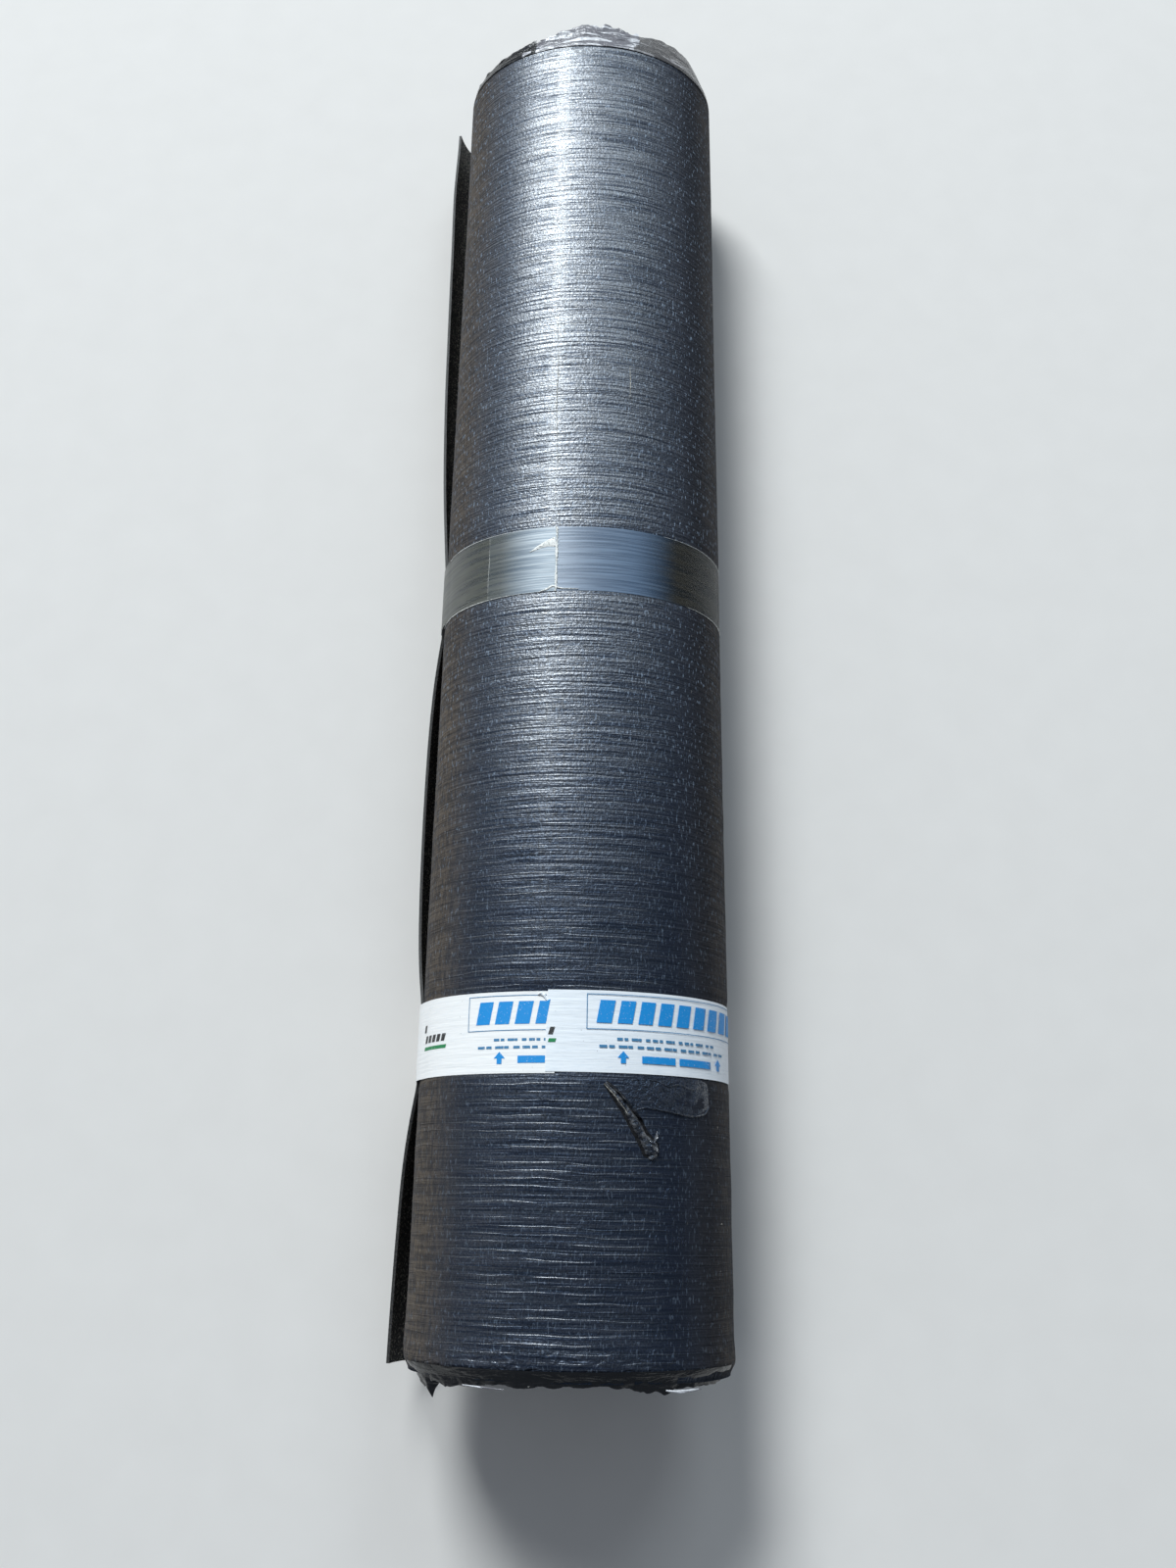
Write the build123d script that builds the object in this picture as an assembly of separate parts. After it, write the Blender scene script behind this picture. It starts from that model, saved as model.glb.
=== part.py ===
from build123d import *
import os
from math import asin, atan2, cos, exp, hypot, log, pi, sin

# Roll of roofing felt, lying on its flatter side, with its loose outer end curling up beside it.
# X is across the roll, Y runs along it, Z is up from the floor.
# The sheet is wound on an oval: half its width and half its height, measured to the outer face.
half_width = 103.0
half_height = 75.0
roll_length = 1000.0
sheet_thickness = 2.0

# How the sheet is wound: the step from one turn to the next, and the number of turns.
winding_pitch = 2.15
turns = 25
points_per_turn = 32

# Three points count as in line where the middle one is no further off than this.
straight_within = 0.001

# The seam between the turns, as it shows on both ends.
seam_width = 0.5
seam_depth = 1.5
seam_steps_per_turn = 24
seam_overrun = 0.004

# The loose end of the sheet: where it leaves the roll, how far round its edge would reach if
# it were held down, how far it lies flat when free, the radius of its curl and its clearance.
tail_root = 14.0
tail_turn = 0.25
tail_flat = 62.0
tail_curl_radius = 57.0
tail_gap = 0.6
tail_steps = 8

# How far the loose end opens in each free span, from 0, held down, to 1, free, and the
# distance from a band in which it does most of its opening.
near_span_open = 1.0
near_span_reach = 50.0
middle_span_open = 0.6
middle_span_reach = 40.0
far_span_open = 1.0
far_span_reach = 120.0
span_stations = 5

# The paper label band, measured from the near end, with the places of its two ends on top.
label_start = 173.5
label_width = 50.0
label_thickness = 0.3
label_top_end = -16.0
label_under_end = 22.0

# The clear tape band, measured in the same way.
tape_start = 500.0
tape_width = 50.0
tape_thickness = 0.3
tape_top_end = -17.0
tape_under_end = -65.5

# How the bands lie: their clearance, the slack over the tail, and the shares of a turn in
# which they climb down off the tail's edge and up onto their own under end.
band_clearance = 0.1
band_slack = 0.3
tail_step_turn = 0.05
lap_step_turn = 0.02
band_points_per_turn = 64


def oval_point(turn, offset=0.0):
    """A point of the oval, this share of a turn on from the bottom, and this far outside it."""
    angle = 2 * pi * turn - pi / 2
    return ((half_width + offset) * cos(angle), (half_height + offset) * sin(angle))


def winding_point(turn, inset=0.0):
    """A point of the sheet's outer face, counted in turns inwards from the bottom."""
    return oval_point(turn, -winding_pitch * turn - inset)


def turn_on_top(x):
    """Where the upper half of the oval passes this x, as a share of a turn."""
    return 0.5 - asin(x / half_width) / (2 * pi)


def turn_at_root():
    """Where the winding stops, above the root of the tail."""
    return 1 - asin(tail_root / (half_width - winding_pitch)) / (2 * pi)


def spread(first, last, count):
    """Evenly spaced values, both ends included."""
    return [first + (last - first) * i / count for i in range(count + 1)]


def bend(first, middle, last):
    """An arc through three points, or a line where they lie in line."""
    run = (last[0] - first[0], last[1] - first[1])
    rise = run[0] * (middle[1] - first[1]) - run[1] * (middle[0] - first[0])
    if abs(rise) < straight_within * hypot(*run):
        return Line(first, last).edge()
    return ThreePointArc(first, middle, last).edge()


def round_path(points):
    """A smooth run of arcs, each through three points in a row."""
    return [bend(*points[i : i + 3]) for i in range(0, len(points) - 2, 2)]


def strip_edges(side, other_side):
    """The edges of a thin strip between two rows of points that run the same way."""
    caps = [Line(side[-1], other_side[-1]).edge(), Line(other_side[0], side[0]).edge()]
    return round_path(side) + caps[:1] + round_path(other_side[::-1]) + caps[1:]


def across(edges):
    """A closed outline drawn across the roll, as a face at the near end."""
    return Plane.XZ * make_face(edges)


def along(face, start, length):
    """The solid that a face drawn across the roll makes over a stretch of the roll."""
    return Pos(0, start, 0) * extrude(face, length, dir=(0, 1, 0))


# The wound sheet

def winding_outline():
    """The outer face all the way round, with the notch that the tail lies in."""
    floor = -half_height
    outer = [winding_point(t) for t in spread(0, turn_at_root(), points_per_turn)]
    notch = Polyline(
        outer[-1],
        (-tail_root, floor + sheet_thickness),
        (-tail_root, floor),
        outer[0],
    )
    return across(round_path(outer) + notch.edges())


def hollow_outline():
    """The opening in the middle, with the sheet's inner end as a small step."""
    inner = [winding_point(t) for t in spread(turns, turns + 1, points_per_turn)]
    return across(round_path(inner) + [Line(inner[-1], inner[0]).edge()])


def seam_outline():
    """The gap between the turns as one long spiral slot, from the notch to the hollow."""
    first = turn_at_root() - seam_overrun
    last = turns + seam_overrun
    places = spread(first, last, round((last - first) * seam_steps_per_turn))
    outside = [winding_point(t, -seam_width / 2) for t in places]
    inside = [winding_point(t, seam_width / 2) for t in places]
    return across(Polyline(*outside, *reversed(inside), close=True).edges())


def wound_sheet():
    return along(winding_outline() - hollow_outline(), 0, roll_length)


def seams():
    """The slots that show the turns, one in each end."""
    slot = along(seam_outline(), -seam_depth, 2 * seam_depth)
    return [slot, Pos(0, roll_length, 0) * slot]


# The loose end of the sheet

def tail_offset(back):
    """How far outside the oval the tail's outer face is where it is held down."""
    return winding_pitch * (back - 1) + tail_gap + sheet_thickness


def free_point(length):
    """The outer face of the tail where it is free, this far along it from the bottom."""
    if length <= tail_flat:
        return (-length, -half_height)
    turned = (length - tail_flat) / tail_curl_radius
    x = -tail_flat - tail_curl_radius * sin(turned)
    z = -half_height + tail_curl_radius * (1 - cos(turned))
    return (x, z)


def tail_line(openness):
    """Points on the tail's outer face, from its root to its free edge."""
    root = 1 - turn_at_root()
    held = [oval_point(-back, tail_offset(back)) for back in spread(root, tail_turn, tail_steps)]
    held[0] = (-tail_root, -half_height)
    points = [held[0]]
    length = tail_root
    for before, here in zip(held, held[1:]):
        length += hypot(here[0] - before[0], here[1] - before[1])
        free = free_point(length)
        points.append(tuple(h + openness * (f - h) for h, f in zip(here, free)))
    return points


def tail_section(openness, place):
    """The tail's cross-section at this place along the roll."""
    outer = tail_line(openness)
    inner = [(outer[0][0], outer[0][1] + sheet_thickness)]
    for i in range(1, len(outer)):
        before = outer[i - 1]
        after = outer[min(i + 1, len(outer) - 1)]
        run = hypot(after[0] - before[0], after[1] - before[1])
        x = outer[i][0] + sheet_thickness * (after[1] - before[1]) / run
        z = outer[i][1] - sheet_thickness * (after[0] - before[0]) / run
        inner.append((x, z))
    return Pos(0, place, 0) * across(strip_edges(outer, inner))


def opening_steps(limit, reach, distance):
    """Pairs of distance from a band and openness there, in even steps of openness."""
    most = limit * (1 - exp(-distance / reach))
    levels = spread(0, most, span_stations)
    return [(-reach * log(1 - level / limit), level) for level in levels]


def tail_span(sections):
    return loft([tail_section(openness, place) for place, openness in sections], ruled=True)


def tail():
    """The loose end in five stretches: free, under the label, free, under the tape, free."""
    label_end = label_start + label_width
    tape_end = tape_start + tape_width
    middle = (tape_start - label_end) / 2
    near = opening_steps(near_span_open, near_span_reach, label_start)
    between = opening_steps(middle_span_open, middle_span_reach, middle)
    far = opening_steps(far_span_open, far_span_reach, roll_length - tape_end)
    rising = [(label_end + d, k) for d, k in between]
    falling = [(tape_start - d, k) for d, k in reversed(between[:-1])]
    return [
        tail_span([(label_start - d, k) for d, k in reversed(near)]),
        along(tail_section(0, 0), label_start, label_width),
        tail_span(rising + falling),
        along(tail_section(0, 0), tape_start, tape_width),
        tail_span([(tape_end + d, k) for d, k in far]),
    ]


def felt_roll():
    """The whole sheet as one piece: the wound part and its tail, with the turns cut in the ends."""
    return wound_sheet() + tail() - seams()


# The bands round the roll

def skin_offset(turn):
    """How far outside the oval the roll and its held tail reach; the tail lies at turns below 0."""
    if turn >= 0:
        return -winding_pitch * turn
    back = -turn
    root = 1 - turn_at_root()
    if back < tail_turn:
        return (tail_offset(back) + band_slack) * min(1, back / root)
    edge = tail_offset(tail_turn) + band_slack
    bare = -winding_pitch * (1 - back)
    share = min(1, (back - tail_turn) / tail_step_turn)
    return edge + (bare - edge) * share


def band_points(under_turn, top_turn, thickness, height):
    """One face of a band, this high above the side that it lies on, from its under end."""
    way = 1 if top_turn > under_turn else -1
    lap = under_turn + way
    count = 2 * round(abs(top_turn - under_turn) * band_points_per_turn / 2)
    points = []
    for turn in spread(under_turn, top_turn, count):
        climb = 1 + way * (turn - lap) / lap_step_turn
        climb = min(1, max(0, climb))
        offset = band_clearance + height + climb * (thickness + band_clearance)
        x, z = oval_point(turn, skin_offset(turn) + offset)
        points.append((x, max(z, -half_height - offset)))
    return points


def band(under_turn, top_turn, thickness, start, width):
    inner = band_points(under_turn, top_turn, thickness, 0)
    outer = band_points(under_turn, top_turn, thickness, thickness)
    return along(across(strip_edges(inner, outer)), start, width)


def paper_label_band():
    """The label goes round from the crest over the left side, and its last end comes from the right."""
    under = turn_on_top(label_under_end) - 1
    top = turn_on_top(label_top_end)
    return band(under, top, label_thickness, label_start, label_width)


def clear_tape_band():
    """The tape goes round from the crest over the right side, and its last end comes from the left."""
    under = turn_on_top(tape_under_end)
    top = turn_on_top(tape_top_end) - 1
    return band(under, top, tape_thickness, tape_start, tape_width)


# The finished roll, with its origin on the floor in the middle of its outline

pieces = {
    "felt_roll": felt_roll(),
    "paper_label_band": paper_label_band(),
    "clear_tape_band": clear_tape_band(),
}
boxes = [piece.bounding_box() for piece in pieces.values()]
middle_x = (min(b.min.X for b in boxes) + max(b.max.X for b in boxes)) / 2
middle_y = (min(b.min.Y for b in boxes) + max(b.max.Y for b in boxes)) / 2
lowest = min(b.min.Z for b in boxes)

os.makedirs("parts", exist_ok=True)
for name, piece in pieces.items():
    export_step(Pos(-middle_x, -middle_y, -lowest) * piece, f"parts/{name}.step")
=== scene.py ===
from math import pi, radians

import bmesh
import bpy
import numpy as np
from bpy.props import FloatProperty, FloatVectorProperty, IntProperty, PointerProperty
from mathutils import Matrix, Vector


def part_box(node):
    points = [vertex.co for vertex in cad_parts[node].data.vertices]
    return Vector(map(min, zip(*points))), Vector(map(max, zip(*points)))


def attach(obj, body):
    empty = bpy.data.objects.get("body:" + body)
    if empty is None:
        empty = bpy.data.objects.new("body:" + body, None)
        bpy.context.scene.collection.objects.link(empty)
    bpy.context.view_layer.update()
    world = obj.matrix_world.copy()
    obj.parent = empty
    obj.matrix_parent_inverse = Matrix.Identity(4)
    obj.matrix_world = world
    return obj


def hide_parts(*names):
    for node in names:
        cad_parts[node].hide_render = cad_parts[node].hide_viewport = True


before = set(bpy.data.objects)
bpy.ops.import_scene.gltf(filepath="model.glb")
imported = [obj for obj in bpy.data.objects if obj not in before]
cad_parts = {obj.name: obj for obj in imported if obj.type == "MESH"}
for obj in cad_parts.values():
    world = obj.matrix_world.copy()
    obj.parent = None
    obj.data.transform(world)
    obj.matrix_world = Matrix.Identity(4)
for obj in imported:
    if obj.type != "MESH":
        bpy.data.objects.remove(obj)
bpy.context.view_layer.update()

bl_info = {
    "name": "Roofing felt roll",
    "version": (1, 0, 0),
    "blender": (4, 5, 0),
    "location": "3D View > Sidebar > Felt roll",
    "description": "A wound roll of roofing felt with its label, tape and loose end",
    "category": "Add Mesh",
}

MM = 0.001
BODY = "root"

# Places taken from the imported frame; those along the roll count from its near end
felt_low, felt_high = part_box("felt_roll")
label_start, label_end = [corner.y - felt_low.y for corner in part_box("paper_label_band")]
tape_start, tape_end = [corner.y - felt_low.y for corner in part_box("clear_tape_band")]
roll_length = felt_high.y - felt_low.y

# Shares of a turn: where the loose end leaves the roll, and how fast a band climbs down off its edge
TAIL_ROOT = 0.022
EDGE_STEP = 0.05

# Where the bands' ends lie: lengths along the face from the crest, to the right
LABEL_UNDER_END = -11 * MM
LABEL_TOP_END = -16.4 * MM
TAPE_UNDER_END = -68.7 * MM
TAPE_TOP_END = -17.6 * MM

# A band's own gap and climb where it lies double, and the rough girth that turns lengths into turns
LAP_GAP = 0.1 * MM
LAP_CLIMB = 0.012
GIRTH = 0.56


# Settings

def sized(name, description, default):
    return FloatProperty(name=name, description=description, default=default, unit="LENGTH")


def tinted(name, description, default):
    return FloatVectorProperty(name=name, description=description, default=default, subtype="COLOR")


class RollSizes(bpy.types.PropertyGroup):
    half_width: sized("Half width", "Half the width of the oval", 0.103)
    half_height: sized("Half height", "Half the height of the oval", 0.075)
    thickness: sized("Sheet thickness", "Thickness of the sheet", 0.002)
    pitch: sized("Winding pitch", "Step from turn to turn", 0.00215)
    turns: IntProperty(name="Turns", description="Number of turns in the roll", default=25, min=2)
    tail_turn: FloatProperty(
        name="Loose end", description="Share of a turn that the loose end covers", default=0.25
    )
    tail_flat: sized("Flat length", "How far the loose end lies flat", 0.062)
    tail_curl: sized("Curl radius", "Radius of the loose end's curl", 0.057)
    tail_gap: sized("Loose end gap", "Gap below a held loose end", 0.0006)
    seed: IntProperty(name="Seed", description="Seed of everything uneven", default=7)


class BandSizes(bpy.types.PropertyGroup):
    tape_thickness: sized("Tape", "Thickness of the tape", 0.00012)
    paper_thickness: sized("Paper", "Thickness of the label", 0.00016)
    clearance: sized("Clearance", "Gap below a band", 0.00015)


class RollColours(bpy.types.PropertyGroup):
    bitumen: tinted("Bitumen", "Outer face", (0.005, 0.007, 0.012))
    # Dust on the flanks, whose brown also stands for a painted reflection of the ground
    dust_and_reflection: tinted("Dust", "Dust on the flanks", (0.102, 0.077, 0.050))
    sand: tinted("Sand", "Grains on the inner face", (0.40, 0.37, 0.31))
    paper: tinted("Paper", "Label paper", (0.885, 0.875, 0.86))
    ink: tinted("Ink", "Strong blue print", (0.004, 0.26, 0.66))


class StageSettings(bpy.types.PropertyGroup):
    key_power: FloatProperty(name="Key light", description="Power of the large lamp", default=350.0)
    sky: FloatProperty(name="Sky", description="Strength of the even light", default=0.22)
    focal: FloatProperty(name="Focal length", description="Camera lens in mm", default=29.25)


def roll():
    return bpy.context.scene.felt_roll_sizes


def bands():
    return bpy.context.scene.felt_roll_bands


def colours():
    return bpy.context.scene.felt_roll_colours


def stage():
    return bpy.context.scene.felt_roll_stage


# The shape of the wound sheet: a turn is counted from the bottom, over the right side

def axis_place():
    """The roll's centre line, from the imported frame: x, its near end's y, and z."""
    r = roll()
    side = r.half_width - r.pitch / 4
    return felt_high.x - side, felt_low.y, felt_low.z + r.half_height


def oval(turn, offset):
    """Points of the oval around the origin, this far outside it."""
    r = roll()
    angle = 2 * pi * np.asarray(turn, float) - pi / 2
    return (r.half_width + offset) * np.cos(angle), (r.half_height + offset) * np.sin(angle)


def run_length(x, z):
    """Length along a row of points, from the first to each."""
    return np.concatenate([[0], np.cumsum(np.hypot(np.diff(x), np.diff(z)))])


def tail_offset(back):
    """How far outside the oval the loose end lies where it is held down."""
    r = roll()
    return r.pitch * (back - 1) + r.tail_gap + r.thickness


def skin_offset(turn):
    """How far outside the oval the roll lies, with its loose end held down."""
    r = roll()
    back = -turn
    slack = 0.3 * MM
    held = (tail_offset(back) + slack) * np.clip(back / TAIL_ROOT, 0, 1)
    edge = tail_offset(r.tail_turn) + slack
    bare = -r.pitch * (1 - back)
    past = edge + (bare - edge) * np.clip((back - r.tail_turn) / EDGE_STEP, 0, 1)
    lying = np.where(back < r.tail_turn, held, past)
    return np.where(turn >= 0, -r.pitch * turn, lying)


def arc_table():
    """Matching rows of turn and of length along the face, from the crest towards the right."""
    turn = np.linspace(-0.6, 1.1, 3401)
    length = run_length(*oval(turn, skin_offset(turn)))
    return turn, np.interp(0.5, turn, length) - length


def turn_from_crest(arc):
    """The turn at a length along the face from the crest."""
    turn, length = arc_table()
    return np.interp(-np.asarray(arc, float), -length, turn)


def smooth_step(low, high, value):
    """0 below low, 1 above high and a smooth rise between them."""
    share = np.clip((value - low) / (high - low), 0, 1)
    return share * share * (3 - 2 * share)


def soft_noise(x, y, seed):
    """Smooth noise between -1 and 1 on a plane, the same for the same seed."""
    size = 64
    table = np.random.default_rng(seed).uniform(-1, 1, (size, size))
    column, row = np.floor(x).astype(int), np.floor(y).astype(int)
    fx, fy = x - column, y - row
    fx, fy = fx * fx * (3 - 2 * fx), fy * fy * (3 - 2 * fy)

    def corner(i, j):
        return table[(column + i) % size, (row + j) % size]

    near = corner(0, 0) * (1 - fx) + corner(1, 0) * fx
    far = corner(0, 1) * (1 - fx) + corner(1, 1) * fx
    return near * (1 - fy) + far * fy


def layered_noise(x, y, seed, layers=3):
    """Several layers of smooth noise, each finer and weaker than the last."""
    total = 0
    for i in range(layers):
        total = total + soft_noise(x * 2**i, y * 2**i, seed + i) / 2**i
    return total / (2 - 2 / 2**layers)


# Mesh making: a face is of the front, of the back or of the edge

FACE_KINDS = 3
SHARP_ANGLE = radians(50)


def grid_faces(rows, columns):
    index = np.arange(rows * columns).reshape(rows, columns)
    return np.stack([index[:-1, :-1], index[:-1, 1:], index[1:, 1:], index[1:, :-1]], -1).reshape(-1, 4)


def surface_normals(points):
    """Unit normals of a grid of points, pointing away from the roll's middle line."""
    normal = np.cross(np.gradient(points, axis=0), np.gradient(points, axis=1))
    return normal / np.linalg.norm(normal, axis=-1, keepdims=True)


def shell(front, back, plane):
    """A closed thin shell between two grids: points, faces, what each face is and its flat map."""
    rows, columns = front.shape[:2]
    count = rows * columns
    index = np.arange(count).reshape(rows, columns)
    rim = np.concatenate([index[0, :], index[1:, -1], index[-1, -2::-1], index[-2:0:-1, 0]])
    after = np.roll(rim, -1)
    faces = grid_faces(rows, columns)
    edges = np.stack([rim, after, after + count, rim + count], -1)
    every = np.concatenate([faces, faces[:, ::-1] + count, edges])
    kinds = np.concatenate([np.zeros(len(faces)), np.ones(len(faces)), np.full(len(edges), 2)])
    points = np.concatenate([front.reshape(-1, 3), back.reshape(-1, 3)])
    return points, every, kinds.astype(int), np.tile(plane.reshape(-1, 2), (2, 1))


def joined(parts):
    """Several sets of points, faces, kinds and flat maps as one."""
    points, faces, kinds, flats = [], [], [], []
    base = 0
    for point, face, kind, flat in parts:
        points.append(point)
        faces += [tuple(int(i) + base for i in f) for f in face]
        kinds.append(kind)
        flats.append(flat)
        base += len(point)
    return np.concatenate(points), faces, np.concatenate(kinds), np.concatenate(flats)


def make_piece(name, made, materials, slot, *nodes):
    """A mesh object from points, faces, what each face is and a flat map; one material is for all kinds."""
    points, faces, kinds, flat = made
    if not isinstance(materials, list):
        materials = [materials] * FACE_KINDS
    mesh = bpy.data.meshes.new(name)
    mesh.from_pydata(np.asarray(points).tolist(), [], [tuple(map(int, f)) for f in faces])
    for material in materials:
        mesh.materials.append(material)
    mesh.polygons.foreach_set("material_index", np.asarray(kinds, np.int32))
    mesh.polygons.foreach_set("use_smooth", np.ones(len(mesh.polygons), bool))
    corners = np.zeros(len(mesh.loops), np.int32)
    mesh.loops.foreach_get("vertex_index", corners)
    layer = mesh.uv_layers.new(name="Flat")
    layer.data.foreach_set("uv", np.asarray(flat, np.float32)[corners].ravel())
    shape = bmesh.new()
    shape.from_mesh(mesh)
    bmesh.ops.recalc_face_normals(shape, faces=shape.faces)
    shape.to_mesh(mesh)
    shape.free()
    mesh.set_sharp_from_angle(angle=SHARP_ANGLE)
    piece = bpy.data.objects.new(name, mesh)
    bpy.context.scene.collection.objects.link(piece)
    return settle(piece, slot, *nodes)


def settle(piece, slot, *nodes):
    """Ties a piece to its body and hides the nodes that it stands for; its slot is not used."""
    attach(piece, BODY)
    if nodes:
        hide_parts(*nodes)
    return piece


# The outer turn and the loose end

# The length in which the sheet settles beside a band
BAND_EASE = 6 * MM

# How far the loose end opens in each free stretch, and the distance in which it does most of that
NEAR_OPENING = (1.0, 50 * MM)
MIDDLE_OPENING = (0.6, 40 * MM)
FAR_OPENING = (1.0, 120 * MM)

# How deep the sheet's rims roll in, and over what length
NEAR_RIM = (3.2 * MM, 11 * MM)
FAR_RIM = (0.8 * MM, 6 * MM)


def openness(y):
    """How far the loose end stands off at a distance from the near end: 0 is held, 1 is free."""

    def opened(distance, limit, reach):
        distance = np.clip(distance, 0, None)
        return limit * (1 - np.exp(-distance / reach * distance / (distance + BAND_EASE)))

    near = opened(label_start - y, *NEAR_OPENING)
    middle = opened(np.minimum(y - label_end, tape_start - y), *MIDDLE_OPENING)
    far = opened(y - tape_end, *FAR_OPENING)
    return near + middle + far


def tail_points(back, y):
    """The outer face of the loose end: back is a share of a turn, y the distance from the near end."""
    r = roll()
    floor = -r.half_height
    steps = np.linspace(TAIL_ROOT, r.tail_turn, 121)
    x, z = oval(-steps, tail_offset(steps))
    ease = smooth_step(0, 0.05, steps - TAIL_ROOT)
    z = z * ease + np.minimum(z, floor) * (1 - ease)
    length = -x[0] + run_length(x, z)
    turned = np.clip(length - r.tail_flat, 0, None) / r.tail_curl
    free_x = -np.minimum(length, r.tail_flat) - r.tail_curl * np.sin(turned)
    free_z = floor + r.tail_curl * (1 - np.cos(turned))
    share = openness(y)
    held_x, held_z = np.interp(back, steps, x), np.interp(back, steps, z)
    open_x, open_z = np.interp(back, steps, free_x), np.interp(back, steps, free_z)
    before = back < TAIL_ROOT
    under = -r.half_width * np.sin(2 * pi * back)
    place_x = np.where(before, under, held_x + share * (open_x - held_x))
    place_z = np.where(before, floor, held_z + share * (open_z - held_z))
    return place_x, place_z


def band_cover(y):
    """1 under a band and 0 away from it."""
    total = 0
    for start, end in ((label_start, label_end), (tape_start, tape_end)):
        total = total + smooth_step(start - BAND_EASE, start, y) * (1 - smooth_step(end, end + BAND_EASE, y))
    return total


def relief(arc, y, turn):
    """Height of the larger wrinkles and waves on the outer turn."""
    r = roll()
    waves = 0.35 * MM * (1 + layered_noise(arc * 9, y * 7, r.seed, 3))
    near = 1 - smooth_step(0.05, 0.55, y)
    rolls = layered_noise(arc * 14, y * 62, r.seed + 11, 2)
    wrinkles = (0.10 + 0.22 * near) * MM * (1 + rolls)
    slant = layered_noise((arc + 0.25 * np.abs(arc + 0.01) + y * 1.5) * 110, y * 25, r.seed + 23, 2)
    rim = 0.55 * MM * (1 - smooth_step(0.010, 0.034, y)) * (1 + slant)
    height = waves + wrinkles + rim
    top = smooth_step(0.03, 0.1, turn) * (1 - smooth_step(0.92, 0.97, turn))
    near_roll = -NEAR_RIM[0] * (1 - smooth_step(0, NEAR_RIM[1], y)) ** 2
    far_roll = -FAR_RIM[0] * smooth_step(roll_length - FAR_RIM[1], roll_length, y) ** 2
    return (height * (1 - band_cover(y)) + near_roll + far_roll) * top


def rows_along():
    """Places along the roll, closer together at both ends."""
    near, far = 40 * MM, roll_length - 15 * MM
    parts = [np.linspace(0, near, 36)[:-1], np.linspace(near, far, 200)[:-1]]
    return np.concatenate(parts + [np.linspace(far, roll_length, 10)])


def outer_sheet_grids():
    """Both faces of the sheet over the outer turn and the loose end, and its flat map."""
    r = roll()
    columns = 180
    turn, y = np.meshgrid(np.linspace(-r.tail_turn, 1.01, columns), rows_along())
    lying_x, lying_z = tail_points(np.clip(-turn, 0, r.tail_turn), y)
    wound_x, wound_z = oval(turn, -r.pitch * turn)
    x, z = np.where(turn < 0, lying_x, wound_x), np.where(turn < 0, lying_z, wound_z)
    face = np.stack([x, y, z], -1)
    out = surface_normals(face)
    arc = np.interp(turn, *arc_table())
    face = face + out * relief(arc, y, turn)[..., None]
    wander = 0.9 * MM * soft_noise(turn * 9, y * 0, r.seed + 5)
    loose_wave = 1.2 * MM * soft_noise(y * 14, y * 0, r.seed + 6) * (turn < 0)
    face[..., 1] += wander * (2 * y / roll_length - 1)
    face[..., 0] += loose_wave * np.clip(-turn / r.tail_turn, 0, 1) ** 2 * openness(y)
    place = np.array(axis_place())
    inner = face - out * r.thickness
    return face + place, inner + place, np.stack([arc, y], -1)


class ROLL_OT_outer_sheet(bpy.types.Operator):
    """Makes the outer turn of the sheet with its loose end."""

    bl_idname = "felt_roll.outer_sheet"
    bl_label = "Outer turn and loose end"

    def execute(self, context):
        made = shell(*outer_sheet_grids())
        looks = [bitumen_film(), sanded_back(), cut_edge()]
        make_piece("outer_sheet", made, looks, "felt", "felt_roll")
        return {"FINISHED"}


# Node trees

class Value:
    """A node's output that can stand in a plain sum."""

    def __init__(self, graph, socket):
        self.graph, self.socket = graph, socket

    def __add__(self, other):
        return self.graph.math("ADD", self, other)

    def __sub__(self, other):
        return self.graph.math("SUBTRACT", self, other)

    def __rsub__(self, other):
        return self.graph.math("SUBTRACT", other, self)

    def __mul__(self, other):
        return self.graph.math("MULTIPLY", self, other)

    def __abs__(self):
        return self.graph.math("ABSOLUTE", self)

    __radd__ = __add__
    __rmul__ = __mul__


class Graph:
    """Short forms for building a node tree."""

    def __init__(self, tree):
        self.tree = tree

    def set(self, socket, value):
        if isinstance(value, Value):
            self.tree.links.new(value.socket, socket)
        elif socket.type == "RGBA" and len(value) == 3:
            socket.default_value = (*value, 1)
        else:
            socket.default_value = value

    def node(self, kind, *values, **named):
        """A new node. Values fill its inputs in order; a capital starts an input's name, not a setting's."""
        node = self.tree.nodes.new(kind)
        for key, value in named.items():
            if key[0].islower():
                setattr(node, key, value)
        for socket, value in zip([s for s in node.inputs if s.enabled], values):
            self.set(socket, value)
        for key, value in named.items():
            if key[0].isupper():
                self.set(node.inputs[key.replace("_", " ")], value)
        return node

    def value(self, kind, *values, **named):
        """The first output of a new node."""
        return Value(self, self.node(kind, *values, **named).outputs[0])

    def outputs(self, kind, *values, **named):
        """Every output of a new node, by name."""
        return {o.name: Value(self, o) for o in self.node(kind, *values, **named).outputs}

    def math(self, operation, *values):
        return self.value("ShaderNodeMath", *values, operation=operation)

    def split(self, vector):
        """The three parts of a vector."""
        return list(self.outputs("ShaderNodeSeparateXYZ", vector).values())


# The turns inside, made by a node tree

WINDING_INPUTS = (
    ("Half Width", 0.1), ("Half Height", 0.07), ("Pitch", 0.002), ("Thickness", 0.002), ("Length", 1.0),
    ("First Turn", 1.0), ("Last Turn", 25.0), ("Steps per Turn", 90.0),
    ("Near Recess", 0.004), ("Far Recess", 0.001), ("Wander", 0.002), ("Seed", 7.0),
)


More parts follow.
